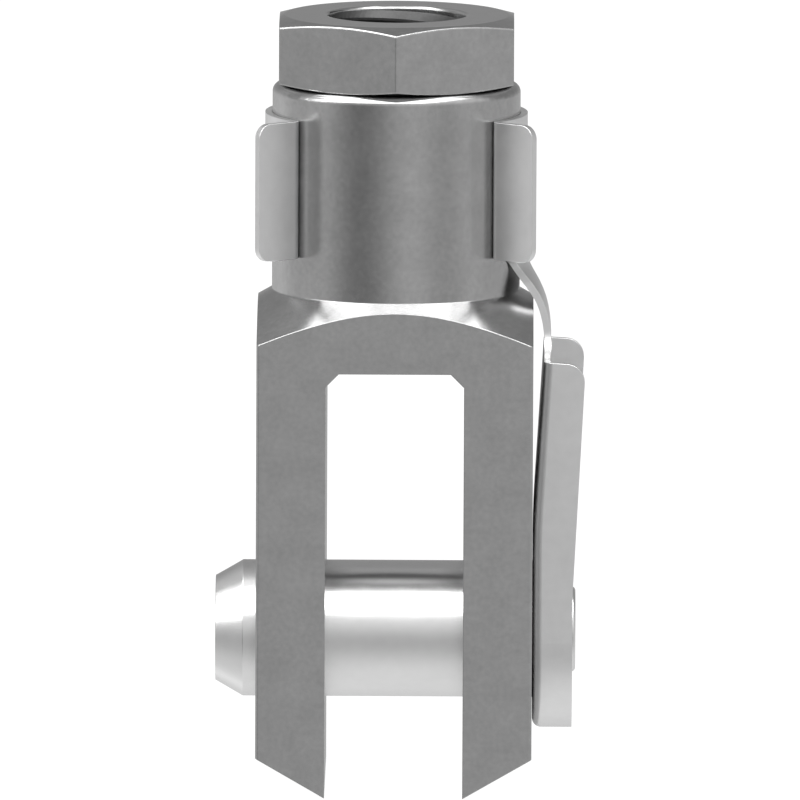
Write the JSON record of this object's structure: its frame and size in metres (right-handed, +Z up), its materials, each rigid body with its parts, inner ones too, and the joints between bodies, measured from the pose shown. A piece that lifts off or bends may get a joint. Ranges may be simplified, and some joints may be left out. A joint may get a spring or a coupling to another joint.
{
  "type": "tension rod clevis",
  "caption": "Square fork head with a round threaded neck, a cross pin kept in by a folded spring clip that snaps round the neck, and a thin hexagon lock nut on top.",
  "frame": {"origin": "on the axis of the cross pin, midway between the fork's two legs", "axes": "+Z up the threaded neck, the way the tension rod leaves; +X along the pin towards the clip; the clip's collar opens towards -Y"},
  "size_m": [0.0267, 0.02, 0.056],
  "materials": {
    "plated_steel": "fine matt zinc plating",
    "bright_steel": "bright turned and plated",
    "spring_steel": "satin rolled sheet, plated",
    "nut_steel": "fine matt zinc plating"
  },
  "bodies": {
    "fork": {"clevis_fork": "plated_steel"},
    "pin": {"clevis_pin": "bright_steel"},
    "clip": {"spring_clip": "spring_steel"},
    "nut": {"lock_nut": "nut_steel"}
  },
  "joints": [
    {"name": "pin_slide", "type": "slide", "parent": "fork", "child": "pin", "axis": [1, 0, 0], "range_m": [0, 0.023]},
    {"name": "clip_swing", "type": "hinge", "parent": "pin", "child": "clip", "pos_m": [0, 0, 0], "axis": [-1, 0, 0], "range_deg": [0, 320], "deforming": ["spring_clip"]},
    {"name": "nut_turn", "type": "hinge", "parent": "fork", "child": "nut", "pos_m": [0, 0, 0.0425], "axis": [0, 0, 1], "continuous": true}
  ]
}
